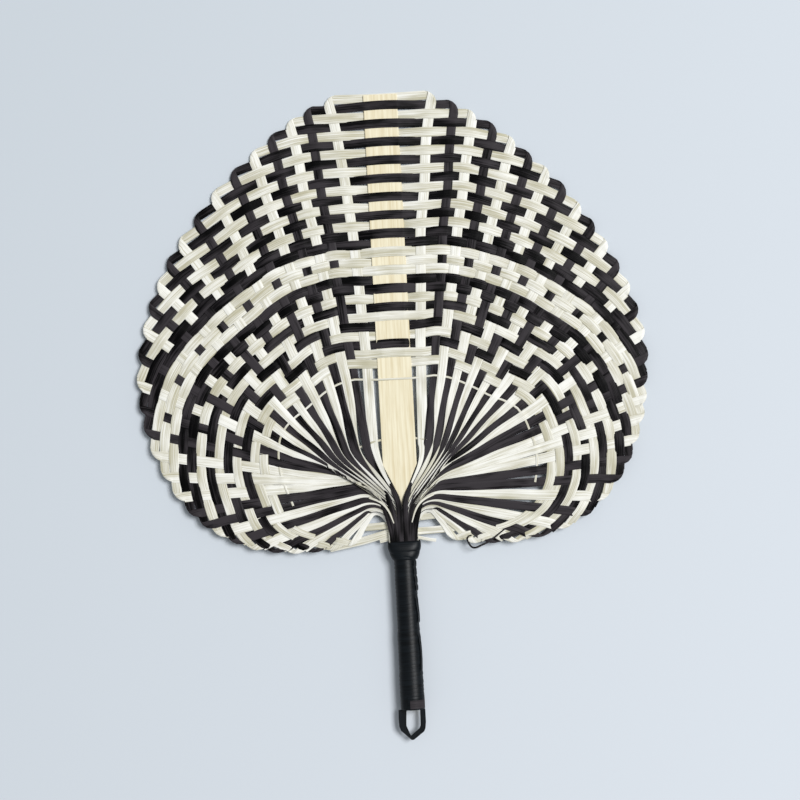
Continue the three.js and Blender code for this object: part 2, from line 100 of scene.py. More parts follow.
def cut_and_planed(name, pale, dark, fibres_across, roughness, bump, tone_spread, shine, face_tone_and_sheen=0.0):
    """Bamboo with fibres along the piece; the grain attribute holds length, width and a seed.

    A split strip's two faces differ in tone by the given face spread each way: the one that the
    folds turn to the front in the spokes is the paler. That is partly the faces' own tone and
    partly painted sheen, for the light that the spokes catch across their fibres.
    """
    material = bpy.data.materials.new(name)
    material.use_nodes = True
    nodes = material.node_tree.nodes
    links = material.node_tree.links
    shader = nodes["Principled BSDF"]
    grain = nodes.new("ShaderNodeAttribute")
    grain.attribute_name = "grain"
    fibre_place = nodes.new("ShaderNodeVectorMath")
    fibre_place.operation = "MULTIPLY"
    fibre_place.inputs[1].default_value = (fibres_along, fibres_across, 7)
    fibres = nodes.new("ShaderNodeTexNoise")
    fibres.inputs["Scale"].default_value = 1
    fibres.inputs["Detail"].default_value = 5
    fibres.inputs["Roughness"].default_value = 0.62
    blotch_place = nodes.new("ShaderNodeVectorMath")
    blotch_place.operation = "MULTIPLY"
    blotch_place.inputs[1].default_value = (blotches_along, blotches_across, 13)
    blotches = nodes.new("ShaderNodeTexNoise")
    blotches.inputs["Scale"].default_value = 1
    blotches.inputs["Detail"].default_value = 2
    fibre_shade = nodes.new("ShaderNodeMapRange")
    fibre_shade.inputs["From Min"].default_value = 0.34
    fibre_shade.inputs["From Max"].default_value = 0.62
    blotch_shade = nodes.new("ShaderNodeMapRange")
    blotch_shade.inputs["From Min"].default_value = 0.3
    blotch_shade.inputs["From Max"].default_value = 0.7
    blotch_shade.inputs["To Min"].default_value = -tone_spread
    blotch_shade.inputs["To Max"].default_value = tone_spread
    face = nodes.new("ShaderNodeAttribute")
    face.attribute_name = "face"
    # The face's tone, with the random blotches added: partly own tone, partly painted sheen
    face_sheen_and_blotch = nodes.new("ShaderNodeMath")
    face_sheen_and_blotch.operation = "MULTIPLY_ADD"
    face_sheen_and_blotch.inputs[1].default_value = face_tone_and_sheen
    together = nodes.new("ShaderNodeMath")
    together.use_clamp = True
    colour = nodes.new("ShaderNodeMix")
    colour.data_type = "RGBA"
    colour.inputs["A"].default_value = (*dark, 1)
    colour.inputs["B"].default_value = (*pale, 1)
    relief = nodes.new("ShaderNodeBump")
    relief.inputs["Strength"].default_value = bump
    relief.inputs["Distance"].default_value = fibre_depth
    links.new(grain.outputs["Vector"], fibre_place.inputs[0])
    links.new(grain.outputs["Vector"], blotch_place.inputs[0])
    links.new(fibre_place.outputs[0], fibres.inputs["Vector"])
    links.new(blotch_place.outputs[0], blotches.inputs["Vector"])
    links.new(fibres.outputs[0], fibre_shade.inputs["Value"])
    links.new(blotches.outputs[0], blotch_shade.inputs["Value"])
    links.new(face.outputs["Fac"], face_sheen_and_blotch.inputs[0])
    links.new(blotch_shade.outputs[0], face_sheen_and_blotch.inputs[2])
    links.new(fibre_shade.outputs[0], together.inputs[0])
    links.new(face_sheen_and_blotch.outputs[0], together.inputs[1])
    links.new(together.outputs[0], colour.inputs["Factor"])
    links.new(colour.outputs["Result"], shader.inputs["Base Color"])
    links.new(fibres.outputs[0], relief.inputs["Height"])
    links.new(relief.outputs[0], shader.inputs["Normal"])
    shader.inputs["Roughness"].default_value = roughness
    shader.inputs["Specular IOR Level"].default_value = shine
    return material


def fitted(name, mesh, material, body, replaced):
    """Puts a finished piece in the scene, smooth but for its edges, on its body, for its CAD node."""
    mesh.materials.append(material)
    mesh.polygons.foreach_set("use_smooth", [True] * len(mesh.polygons))
    mesh.set_sharp_from_angle(angle=sharp_edge)
    piece = bpy.data.objects.new(name, mesh)
    scene.collection.objects.link(piece)
    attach(piece, body)
    if replaced:
        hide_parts(*replaced)


def outline_plate(name, outline, thickness, edge_round, seed):
    """A flat plate of an outline in X and Y, with rounded edges and its grain along Y."""
    shape = bmesh.new()
    ring = [shape.verts.new((x, y, -thickness / 2)) for x, y in outline]
    bottom = shape.faces.new(ring)
    pulled = bmesh.ops.extrude_face_region(shape, geom=[bottom])["geom"]
    tops = [part for part in pulled if isinstance(part, bmesh.types.BMVert)]
    bmesh.ops.translate(shape, verts=tops, vec=(0, 0, thickness))
    bmesh.ops.recalc_face_normals(shape, faces=shape.faces)
    bmesh.ops.bevel(shape, geom=shape.edges[:], offset=edge_round, segments=2, affect="EDGES")
    mesh = bpy.data.meshes.new(name)
    shape.to_mesh(mesh)
    shape.free()
    grain = mesh.attributes.new("grain", "FLOAT_VECTOR", "POINT")
    values = [(vertex.co.y, vertex.co.x, seed) for vertex in mesh.vertices]
    grain.data.foreach_set("vector", np.array(values).ravel())
    return mesh


slat_outline = [
    (-tang_half_width, -tang_depth), (tang_half_width, -tang_depth),
    (tang_half_width, tip_height), (slat_half_width, shoulder_height),
    (slat_half_width, slat_top), (-slat_half_width, slat_top),
    (-slat_half_width, shoulder_height), (-tang_half_width, tip_height),
]
slat_mesh = outline_plate("slat", slat_outline, slat_thickness, slat_edge_round, seed=3.0)
slat_mesh.transform(blade_place)
planed_bamboo = cut_and_planed(
    "planed_bamboo", pale=(0.90, 0.83, 0.62), dark=(0.74, 0.64, 0.42), fibres_across=620,
    roughness=0.55, bump=0.25, tone_spread=0.25, shine=0.4,
)
fitted("slat", slat_mesh, planed_bamboo, "fan", ["centre_slat"])


# Woven strips
# Thirty split bamboo strips, natural or dyed black. Each rises from the neck, folds at the edge,
# crosses the blade as a row, folds again and goes back to the neck. Rows pass over and under
# the strips one by one in the upper part, and two by two below it.
strip_count = 30
strip_half_width = 0.0028
strip_thickness = 0.00024
row_pitch = 0.0057
plain_rows = 23
twill_repeat = 4
dyed_band = (17, 21, 22)
natural_band = (18, 19, 20)
station_step = 0.0012
no_bulge = np.zeros(3)
hand = random.Random(7)

# Places right of the slat: along the edge, and where the first and the last strip bend to the neck
corner = np.array((0.0300, 0.2750))
widest = np.array((0.1585, 0.1020))
lobe = np.array((0.0630, -0.0035))
last_fold = np.array((0.0190, 0.0050))
first_bend = np.array((0.0150, 0.0585))
last_bend = np.array((0.0195, 0.0220))
right_edge_nearer = 0.003
last_folds_closer = 0.014


def cubic(points, way):
    """Point on the curve from the first point to the last, drawn towards the two between."""
    start, leave, arrive, end = points
    rest = 1 - way
    return start * rest**3 + 3 * leave * rest**2 * way + 3 * arrive * rest * way**2 + end * way**3


def eased(value):
    """0 below 0, 1 above 1, and a soft rise between."""
    value = min(max(value, 0.0), 1.0)
    return value * value * (3 - 2 * value)


def mixed(low, high, way):
    return low + (high - low) * way


def unit(vector):
    return vector / np.linalg.norm(vector)


def turned(a, b):
    """Sine of the turn from a to b, times their lengths."""
    return a[0] * b[1] - a[1] * b[0]


def distances(points):
    """Distance of each point from the first, along the line through them."""
    return np.concatenate(([0], np.cumsum(np.linalg.norm(np.diff(points, axis=0), axis=1))))


def share_down(strip):
    """0 for the first strip, 1 for the last."""
    return (strip - 1) / (strip_count - 1)


def grown(strip, first, last):
    """How far a change down the blade has come: nothing up to the first strip, all at the last."""
    return eased((strip - first) / (last - first))


def laid_out(side):
    """One half's folds, bends, ways in, lengths and row pitches, as if right of the slat.

    The folds are set out along the edge and the bends where the strips turn in to the neck. The
    halves differ as in the photograph: on the left the middle folds lie further down and the upper
    bends further out, and on the right the edge is nearer and the lower rows are closer. The first
    item of each list stands for the slat.
    """
    reach = widest - (right_edge_nearer, 0) if side > 0 else widest
    curves = (
        (corner, corner + (0.032, -0.0085), reach + (0, 0.090), reach),
        (reach, reach - (0, 0.0105), lobe + (0.089, 0), lobe),
        (lobe, lobe - (0.0154, 0), last_fold + (0.016, -0.008), last_fold),
    )
    edge = np.array([cubic(curve, way) for curve in curves for way in np.linspace(0, 1, 160)])
    runs = distances(edge)
    bend_curve = (first_bend, first_bend + (0.034, -0.0005), last_bend + (0.0095, 0.016), last_bend)
    layout = SimpleNamespace(
        folds=[np.array((0.0, blade_top + row_pitch))], bends=[None],
        inwards=[np.array((0.0, -1.0))], lengths=[0], pitches=[row_pitch],
    )
    for strip in range(1, strip_count + 1):
        share = share_down(strip)
        run = share * runs[-1] - last_folds_closer * max(0.0, (share - 0.8) / 0.2) ** 1.5
        sunk = 0.003 * grown(strip, 14, 19) + 0.006 * grown(strip, 20, 26) - 0.003 * grown(strip, 27, 30)
        bend = cubic(bend_curve, share) - (0, sunk)
        pitch = row_pitch
        if side > 0:
            back = 0.008 * grown(strip, 16, 20) + 0.003 * grown(strip, 20, 22)
            run -= back * (1 - grown(strip, 24, 28))
            pitch *= 1 - 0.06 * grown(strip, 10, 15) * (1 - grown(strip, 23, 26))
        else:
            further = 0.0118 * grown(strip, 4.5, 9.5) + 0.004 * grown(strip, 13, 16)
            run += further * (1 - grown(strip, 20, 25))
            rank = min(1.0, strip / 14)
            bend = bend + (0.0125 * rank * (1 - grown(strip, 13, 21)), 0.002 * (1 - rank))
        fold = np.array([np.interp(run, runs, edge[:, axis]) for axis in (0, 1)])
        length = np.linalg.norm(bend - fold)
        layout.folds.append(fold)
        layout.bends.append(bend)
        layout.lengths.append(length)
        layout.inwards.append((bend - fold) / length)
        layout.pitches.append(pitch)
    return layout


layouts = {side: laid_out(side) for side in (1, -1)}

# The first two strips bow towards the slat below the top corners, and start further out.
bows = {
    1: np.polyfit((0, 0.090, 0.190, 0.217), (0.0018, -0.0030, -0.0012, 0), 3),
    2: np.polyfit((0, 0.060, 0.120, 0.200), (0.0014, 0.0012, 0.0008, 0), 3),
}


def along_strip(strip, depth, side):
    """Point on a strip's way in from its fold, with the bow of the first two."""
    layout = layouts[side]
    inward = layout.inwards[strip]
    point = layout.folds[strip] + inward * depth
    if strip in bows:
        aside = np.array((-inward[1], inward[0]))
        point = point + aside * np.polyval(bows[strip], min(depth, layout.lengths[strip]))
    return point


def crossing(row, strip, side):
    """Where a row crosses a strip, or the slat as strip 0."""
    return along_strip(strip, (row - strip) * layouts[side].pitches[strip], side)


def in_front(row, strip):
    """Whether a row passes in front of a strip, or of the slat as strip 0."""
    if row <= plain_rows:
        return (row + strip) % 2 == 0
    return (strip - row + 1) % twill_repeat < twill_repeat / 2


def is_dyed(strip):
    """Whether a strip is dyed black."""
    alternate = strip % 2 == 0 and strip < strip_count
    return strip in dyed_band or (alternate and strip not in natural_band)


def is_paired(strip):
    """Whether a strip is black and lies beside another black one."""
    return is_dyed(strip) and (is_dyed(strip - 1) or is_dyed(strip + 1))


# A strip lies level at each crossing, and nearer the blade's plane at the ends of that stretch.
row_rise = 0.00038
spoke_rise = 0.00015
fold_depth = 0.00045
level_end_share = 0.8
level_end_ease = 0.001
least_half_gap = 0.00025


def level_at(place, plateaus):
    """Height along a strip: level on each plateau (start, end, level), and lower at its ends."""
    before = plateaus[0]
    for plateau in plateaus:
        start, end, level = plateau
        if place < start:
            gap = start - before[1]
            way = (place - before[1]) / gap if gap > 0 else 1
            return mixed(before[2], level, eased(way)) * level_end_share
        if place <= end:
            inside = min(place - start, end - place)
            return level * mixed(level_end_share, 1, eased(inside / level_end_ease))
        before = plateau
    return before[2] * level_end_share


def plateaus_from(stops):
    """Level stretches round each stop (place, half length, level), cut where two would meet."""
    spans = []
    for index, (place, half, level) in enumerate(stops):
        start = place - half
        end = place + half
        if index > 0:
            start = max(start, (place + stops[index - 1][0]) / 2 + least_half_gap)
        if index + 1 < len(stops):
            end = min(end, (place + stops[index + 1][0]) / 2 - least_half_gap)
        spans.append((start, end, level))
    return spans


# Folds at the edge, by whether the strip is dyed: black ones are looser, most of all near the top.
fold_radii = {True: (0.0009, 0.0014), False: (0.0006, 0.0010)}
fold_arches = {True: (0.0008, 0.0013), False: (0.0009, 0.0014)}
top_folds = 8
top_fold_radii = {1: 0.0018, -1: 0.0014}
fold_stands_out = 0.0003
crease_share = 0.94
longest_half_crease = 0.0036
fold_steps = 11


def fold_at(strip, side, side_hand):
    """Fold of a strip: its middle, directions, radius, arch, and the length that it takes."""
    inward = layouts[side].inwards[strip]
    dyed = is_dyed(strip)
    before = np.array((slat_half_width, crossing(1, 0, side)[1]))
    if strip > 1:
        before = crossing(strip, strip - 1, side)
    middle = along_strip(strip, 0, side)
    radius = side_hand.uniform(*fold_radii[dyed])
    if dyed and strip <= top_folds:
        radius = top_fold_radii[side]
    heading = unit(middle - before)
    middle = middle + unit(heading - inward) * (fold_stands_out + 0.5 * radius)
    heading = unit(middle - before)
    proud = unit(heading - inward)
    crease = -unit(heading + inward)
    across_share = heading @ proud
    along_share = -(heading @ crease)
    approach = math.pi * radius / (2 * across_share)
    half = min(strip_half_width / across_share * crease_share, longest_half_crease)
    return SimpleNamespace(
        middle=middle, heading=heading, crease=crease, proud=proud, radius=radius,
        arch=side_hand.uniform(*fold_arches[dyed]), approach=approach, half=half,
        clear=approach + half * max(along_share, 0), lead=along_share / across_share,
    )


def fold_stations(fold):
    """Loose fold at the edge: the row comes from behind, rolls over and goes down in front."""
    stations = []
    for turn in np.radians(np.linspace(-90, 90, fold_steps)):
        centre = fold.middle - fold.heading * fold.approach
        centre = centre + fold.proud * fold.radius * math.cos(turn)
        centre = centre - fold.crease * fold.radius * (turn + math.pi / 2) * fold.lead
        height = min(fold.radius, fold_depth) * math.sin(turn)
        bulge = np.array((*(fold.proud * fold.arch * math.cos(turn)), 0))
        stations.append((np.array((*centre, height)), np.array((*fold.crease, 0)), fold.half, bulge))
    return stations


# Rows bow up the blade where they pass in front of the slat. Upper rows may lap each other a
# little, and lower ones may not.
arch_over_slat = 0.0011
slat_clearance = 0.00015
slat_margin = 0.0005
level_share = 1.02
first_level_share = 0.75
upper_room_share = 0.57
lower_room_share = 0.495
roll_size = 0.10
roll_scale = 60
least_step = 0.0001
fold_gap = 0.0003


def row_half_widths(strip):
    """Half width of a row where it passes behind, and where it passes in front."""
    if is_paired(strip):
        return 0.0028, 0.0030
    return (0.0026, 0.0028) if is_dyed(strip) else (0.0028, 0.00305)


def row_places(spans, last):
    """Where a row needs stations: at both ends of each level stretch, and evenly along it."""
    found = [0.0]
    for start, end, _ in spans:
        ways = np.linspace(max(start, 0.0), end, max(2, round((end - start) / station_step)) + 1)
        found += [place for place in ways if found[-1] + least_step < place < last - fold_gap]
    return found + [last]


def swept(start, end, leave, arrive, way):
    """Point and direction on the smooth run from start to end with these slopes at its ends."""
    point = (
        start * (2 * way**3 - 3 * way**2 + 1) + leave * (way**3 - 2 * way**2 + way)
        + end * (3 * way**2 - 2 * way**3) + arrive * (way**3 - way**2)
    )
    slope = (
        start * (6 * way**2 - 6 * way) + leave * (3 * way**2 - 4 * way + 1)
        + end * (6 * way - 6 * way**2) + arrive * (3 * way**2 - 2 * way)
    )
    return point, unit(slope)


def row_stations(strip, side, side_hand, fold):
    """Row of a strip from the slat to near its fold: centre, across direction, half width, bulge."""
    inwards = layouts[side].inwards
    over_slat = in_front(strip, 0)
    points = [np.array((0.0, crossing(strip, 0, side)[1] + (arch_over_slat if over_slat else 0)))]
    points += [crossing(strip, spoke, side) for spoke in range(1, strip)]
    points.append(fold.middle)
    places = distances(points)
    slat_level = (slat_thickness + strip_thickness) / 2 + slat_clearance
    stops = [(0.0, slat_half_width + slat_margin, slat_level if over_slat else -slat_level)]
    slopes = [np.array((1.0, 0.0))]
    slants = [1.0]
    for spoke in range(1, strip):
        slope = (points[spoke + 1] - points[spoke - 1]) / (places[spoke + 1] - places[spoke - 1])
        slopes.append(slope)
        slants.append(abs(turned(unit(slope), inwards[spoke])))
        reach = strip_half_width * (first_level_share if spoke == 1 else level_share)
        stops.append((places[spoke], reach, row_rise if in_front(strip, spoke) else -row_rise))
    slopes.append((points[-1] - points[-2]) / (places[-1] - places[-2]))
    slants.append(1.0)
    stops.append((places[-1], fold.clear, -min(fold.radius, fold_depth)))
    spans = plateaus_from(stops)
    narrow, wide = row_half_widths(strip)
    room = (upper_room_share if strip <= plain_rows else lower_room_share) * row_pitch
    wander = side_hand.uniform(0, 50)
    stations = []
    for place in row_places(spans, places[-1] - fold.clear):
        passed = min(np.searchsorted(places, place, side="right") - 1, len(places) - 2)
        gap = places[passed + 1] - places[passed]
        leave, arrive = slopes[passed] * gap, slopes[passed + 1] * gap
        way = (place - places[passed]) / gap
        point, heading = swept(points[passed], points[passed + 1], leave, arrive, way)
        roll = roll_size * noise.noise(Vector((place * roll_scale, wander, 0)))
        across = np.array((-heading[1] * math.cos(roll), heading[0] * math.cos(roll), math.sin(roll)))
        height = level_at(place, spans)
        free = mixed(narrow, wide, min(max(0.5 + 0.5 * height / row_rise, 0), 1))
        half = min(free, room * np.interp(place, places, slants))
        stations.append((np.array((*point, height)), across, half, no_bulge))
    return stations


# On the way in, the weave lets each strip go at its last row, or at the splint that is woven
# across the open strips. Sizes are by whether the strip is dyed; a share of the space between two
# neighbours is by whether the strip and its neighbour are.
splint_row = 31.7
splint_strips = 22
splint_thickness = 0.0004
splint_clearance = 0.0001
splint_half_level = 0.0009
splint_run_out = 0.0053
splint_release = 0.003
spoke_level_share = 0.3
weave_run_out = 0.001
run_out_half_level = 0.0005
woven_halves = {True: 0.0028, False: 0.00315}
loose_halves = {True: 0.0029, False: 0.0031}
bend_halves = {True: 0.0026, False: 0.0022}
last_naturals = 28
last_bend_half = 0.0017
own_shares = {(True, False): 0.465, (False, True): 0.535, (True, True): 0.53, (False, False): 0.5}
neighbour_gap = 0.00002
fold_shift_ease = 0.008
half_look = 0.001
loosening = 0.010
widening = 0.025

# In the throat the strips twist until they stand on edge beside the tang. The pairs of values
# are the first strip's and the last one's.
upper_strips = 17
lap_distance = 0.00034
least_spacing = 0.00001
least_shown = 0.0008
throat_rise = 0.0005
throat_steps = 26
throat_handles = (0.014, 0.0055)
throat_heights = (0.027, 0.0165)
neck_tops = (0.017, 0.007)
neck_half_width = 0.0021
neck_strip_pitch = 0.00026
neck_start = tang_half_width + 0.00025
neck_bottom = -0.011
neck_steps = 12
neck_drawn_in = 0.7


def tilted(point, height, heading, tilt, half):
    """Station of a strip on its way in, tilted so that its slat side is raised."""
    across = np.array((heading[1] * math.cos(tilt), -heading[0] * math.cos(tilt), math.sin(tilt)))
    return np.array((*point, height)), across, half, no_bulge


def lapped(spacing):
    """Tilt at which strips this far apart lap their neighbours without touching them."""
    return math.asin(min(1.0, lap_distance / max(spacing, least_spacing)))


def cut_back(station, cut):
    """A station with its slat side cut back, so that more of the strip before it shows."""
    centre, across, half, bulge = station
    cut = min(cut, 2 * half - least_shown)
    return centre - across * (cut / 2), across, half - cut / 2, bulge


def hidden_shares(strip, side):
    """Share of a strip's spacing that is cut back, before its bend and at the neck.

    Towards the bend the natural strips hide between the black ones, and beyond it they show again.
    """
    if is_dyed(strip) or strip == 1:
        beyond = 0.6 if side < 0 else 0.85
        return (0.0, beyond) if strip <= upper_strips else (0.0, 0.0)
    if strip <= upper_strips:
        return 0.72, 0.0
    return (0.0, 0.3) if strip in natural_band else (0.2, 0.2)


def spoke_spans(strip, pitch, fold):
    """Level stretches of a strip on its way in, and the depth at which the weave lets it go."""
    weave_edge = (strip_count - strip + 0.5) * pitch + strip_half_width
    stops = [(0.0, fold.clear, min(fold.radius, fold_depth))]
    for row in range(strip + 1, strip_count + 1):
        level = -spoke_rise if in_front(row, strip) else spoke_rise
        stops.append(((row - strip) * pitch, spoke_level_share * pitch, level))
    stops.append((weave_edge + weave_run_out, run_out_half_level, 0.0))
    if strip > splint_strips:
        return plateaus_from(stops), weave_edge
    lift = (strip_thickness + splint_thickness) / 2 + splint_clearance
    splint_depth = (splint_row - strip) * pitch
    stops.append((splint_depth, splint_half_level, lift if strip % 2 else -lift))
    stops.append((splint_depth + splint_run_out, run_out_half_level, 0.0))
    return plateaus_from(stops), splint_depth + splint_release


def spoke_room(strip, side, point):
    """Half width that a strip's neighbours leave it at a point, and the nearest one's distance."""
    layout = layouts[side]
    room = woven_halves[is_dyed(strip)]
    spacing = 1.0
    for other in (strip - 1, strip + 1):
        if 1 <= other <= strip_count:
            apart = abs(turned(point - layout.folds[other], layout.inwards[other]))
            room = min(room, apart * own_shares[is_dyed(strip), is_dyed(other)] - neighbour_gap)
            spacing = min(spacing, apart)
    return room, spacing


def throat_curve(strip, side):
    """The strip's line from its bend to the top of the neck."""
    layout = layouts[side]
    share = share_down(strip)
    neck_x = neck_start + neck_strip_pitch * (strip - 1)
    return (
        layout.bends[strip],
        layout.bends[strip] + layout.inwards[strip] * mixed(*throat_handles, max(0, strip - 20) / 10),
        np.array((neck_x, mixed(*throat_heights, share))),
        np.array((neck_x, mixed(*neck_tops, share))),
    )


def throat_stations(strip, side, bend_half):
    """A strip from its bend through the throat, where it turns on edge, and down the neck."""
    curve = throat_curve(strip, side)
    beside = throat_curve(strip + 1 if strip < strip_count else strip - 1, side)
    late = 0.1 if side < 0 else -0.1
    stations = []
    for step in range(1, throat_steps + 1):
        way = step / throat_steps
        heading = unit(cubic(curve, min(way + 0.01, 1)) - cubic(curve, max(way - 0.01, 0)))
        spacing = abs(turned(cubic(beside, way) - cubic(curve, way), heading))
        half = mixed(bend_half, neck_half_width, eased(way * 1.2))
        height = throat_rise * (1 - eased(way))
        station = tilted(cubic(curve, way), height, heading, lapped(spacing), half)
        hidden = mixed(*hidden_shares(strip, side), eased((way - late) / 0.45))
        stations.append(cut_back(station, hidden * spacing))
    neck_x, neck_top = curve[3]
    for depth in np.linspace(neck_top - 0.002, neck_bottom, neck_steps):
        drawn_in = neck_x * mixed(1, neck_drawn_in, eased((-0.001 - depth) / 0.009))
        stations.append(tilted((drawn_in, depth), 0.0, (0.0, -1.0), math.pi / 2, neck_half_width))
    return stations


def spoke_stations(strip, side, fold):
    """A strip from its fold in through the weave and the throat, and down the neck."""
    length = layouts[side].lengths[strip]
    dyed = is_dyed(strip)
    bend_half = bend_halves[dyed] if dyed or strip < last_naturals else last_bend_half
    fold_shift = fold.middle - along_strip(strip, 0, side)
    spans, release = spoke_spans(strip, layouts[side].pitches[strip], fold)
    hidden, _ = hidden_shares(strip, side)
    stations = []
    for place in np.arange(fold.clear, length, station_step):
        point = along_strip(strip, place, side)
        ahead = along_strip(strip, place + half_look, side)
        behind = along_strip(strip, place - half_look, side)
        room, spacing = spoke_room(strip, side, point)
        shift = fold_shift * (1 - eased((place - fold.clear) / fold_shift_ease))
        way = max(0.0, (place - release) / (length - release))
        loose = eased((place - release) / loosening)
        free = mixed(loose_halves[dyed], bend_half, eased((way - 0.3) / 0.7))
        if strip == 1:
            free = loose_halves[dyed]
            room = woven_halves[dyed]
            loose = eased((way - 0.7) / 0.3)
        half = mixed(room, free, eased((place - release) / widening))
        height = level_at(place, spans) if way < 0.5 else 0.0
        height += throat_rise * eased((way - 0.5) / 0.5)
        tilt = lapped(spacing) * (1 if is_paired(strip) else loose)
        station = tilted(point + shift, height, unit(ahead - behind), tilt, half)
        stations.append(cut_back(station, hidden * spacing * eased((way - 0.2) / 0.8)))
    return stations + throat_stations(strip, side, half)


def strip_mesh(name, stations, thickness, seed, place, crown=0.5):
    """A split strip through stations, crowned a little, with its thin edges rounded.

    The profile is in half widths and half thicknesses, from one edge over the crown and back.
    """
    profile = (
        (-1, 0), (-0.95, 0.75), (-0.65, 0.75 + 0.5 * crown), (-0.3, 0.75 + 0.86 * crown),
        (0, 0.75 + crown), (0.3, 0.75 + 0.86 * crown), (0.65, 0.75 + 0.5 * crown), (0.95, 0.75),
        (1, 0), (0.95, -0.75), (0.4, -0.7), (-0.4, -0.7), (-0.95, -0.75),
    )
    centres, acrosses, halves, bulges = (np.array(part) for part in zip(*stations))
    normals = np.cross(np.gradient(centres, axis=0), acrosses)
    normals /= np.linalg.norm(normals, axis=1)[:, None]
    around = len(profile)
    vertices = np.empty((len(stations), around, 3))
    grains = np.empty((len(stations), around, 3))
    grains[:, :, 0] = distances(centres)[:, None]
    grains[:, :, 2] = seed
    for point, (width, height) in enumerate(profile):
        vertices[:, point] = centres + acrosses * (halves * width)[:, None]
        vertices[:, point] += normals * (thickness / 2 * height)
        vertices[:, point] += bulges * (1 - width**2)
        grains[:, point, 1] = halves * width
    faces = []
    for ring in range(len(stations) - 1):
        for point in range(around):
            here = ring * around + point
            beside = ring * around + (point + 1) % around
            faces.append((here, beside, beside + around, here + around))
    faces.append(tuple(range(around - 1, -1, -1)))
    faces.append(tuple(range((len(stations) - 1) * around, len(stations) * around)))
    mesh = bpy.data.meshes.new(name)
    mesh.from_pydata(vertices.reshape(-1, 3).tolist(), [], faces)
    mesh.attributes.new("grain", "FLOAT_VECTOR", "POINT").data.foreach_set("vector", grains.ravel())
    # Which face each point lies on; the material makes the spokes' face paler, partly as own tone and partly
    # as painted sheen.
    sides = np.tile(np.sign([-height for _, height in profile]), len(stations))
    mesh.attributes.new("face", "FLOAT", "POINT").data.foreach_set("value", sides)
    shape = bmesh.new()
    shape.from_mesh(mesh)
    bmesh.ops.recalc_face_normals(shape, faces=shape.faces)
    shape.to_mesh(mesh)
    shape.free()
    mesh.transform(place)
    return mesh


# Hand weaving never runs quite true, so every piece of the blade drifts with its neighbours, but
# for the neck and the slat.
drift_size = 0.0011
drift_scale = 34


def wandered(station):
    """A station with the drift that the weave has at its place."""
    centre, across, half, bulge = station
    spot = Vector((centre[0] * drift_scale, centre[1] * drift_scale, 0))
    calm = eased((centre[1] - 0.02) / 0.05) * eased((abs(centre[0]) - 0.008) / 0.02)
    drift = np.array((noise.noise(spot), noise.noise(spot + Vector((40, 0, 0))), 0)) * drift_size * calm
    return centre + drift, across, half, bulge


# Both bamboos are paler on the face that the spokes show: partly the faces' own tone, partly painted sheen.
bamboos = {
    "natural": cut_and_planed(
        "natural_bamboo", pale=(0.93, 0.92, 0.86), dark=(0.50, 0.47, 0.33), fibres_across=2200,
        roughness=0.50, bump=0.8, tone_spread=0.40, shine=0.35, face_tone_and_sheen=0.14,
    ),
    "black": cut_and_planed(
        "black_bamboo", pale=(0.042, 0.037, 0.041), dark=(0.0008, 0.0007, 0.0009), fibres_across=2200,
        roughness=0.40, bump=1.0, tone_spread=0.90, shine=0.06, face_tone_and_sheen=0.28,
    ),
}
flip = np.array((-1, 1, 1))
for strip in range(1, strip_count + 1):
    halves = []
    for side in (1, -1):
        side_hand = random.Random(100 * strip + side)
        fold = fold_at(strip, side, side_hand)
        run = row_stations(strip, side, side_hand, fold) + fold_stations(fold)
        run += spoke_stations(strip, side, fold)
        if side < 0:
            run = [(centre * flip, across * flip, half, bulge * flip) for centre, across, half, bulge in run]
        halves.append([wandered(station) for station in run])
    right, left = halves
    # The left half runs the other way, so it is turned end for end before the halves are joined.
    whole = left[:0:-1] + right
    colour = "black" if is_dyed(strip) else "natural"
    name = f"woven_{strip:02d}_{colour}"
    mesh = strip_mesh(name, whole, strip_thickness, hand.uniform(0, 90), blade_place)
    fitted(name, mesh, bamboos[colour], "fan", [f"strip_{strip:02d}_{colour}"])


# Splints
# Two thin natural rods hold the open strips apart. The outer one lies over the slat and goes
# under and over the strips; the inner one passes behind the slat, over the strip beside it and
# under the rest, just outside the neck.
splint_half_width = 0.00065
inner_top = 0.0635
inner_behind = -0.0011
inner_over = 0.00045
first_strip_beyond = 0.0175


def laid_stations(centres, halves):
    """Stations of a strip that lies flat along its centres."""
    stations = []
    for index, centre in enumerate(centres):
        before, after = max(index - 1, 0), min(index + 1, len(centres) - 1)
        heading = unit((centres[after] - centres[before])[:2])
        stations.append((centre, np.array((-heading[1], heading[0], 0)), halves[index], no_bulge))
    return stations


def add_splint(name, points, heights, seed, node):
    """A thin rod that lies in the weave, through points of the blade's plane."""
    centres = [np.array((*point, height)) for point, height in zip(points, heights)]
    stations = [wandered(station) for station in laid_stations(centres, [splint_half_width] * len(centres))]
    mesh = strip_mesh(name, stations, splint_thickness, seed, blade_place)
    fitted(name, mesh, bamboos["natural"], "fan", [node])


over_slat = (slat_thickness + splint_thickness) / 2 + splint_clearance
slat_y = crossing(splint_row, 0, 1)[1]
outer_points = [crossing(splint_row, strip, -1) * (-1, 1) for strip in range(splint_strips, 0, -1)]
outer_points += [np.array((x, slat_y)) for x in (-slat_half_width, 0.0, slat_half_width)]
outer_points += [crossing(splint_row, strip, 1) for strip in range(1, splint_strips + 1)]
outer_heights = [0.0] * splint_strips + [over_slat] * 3 + [0.0] * splint_strips
add_splint("outer_splint", outer_points, outer_heights, 11.0, "splint_outer")

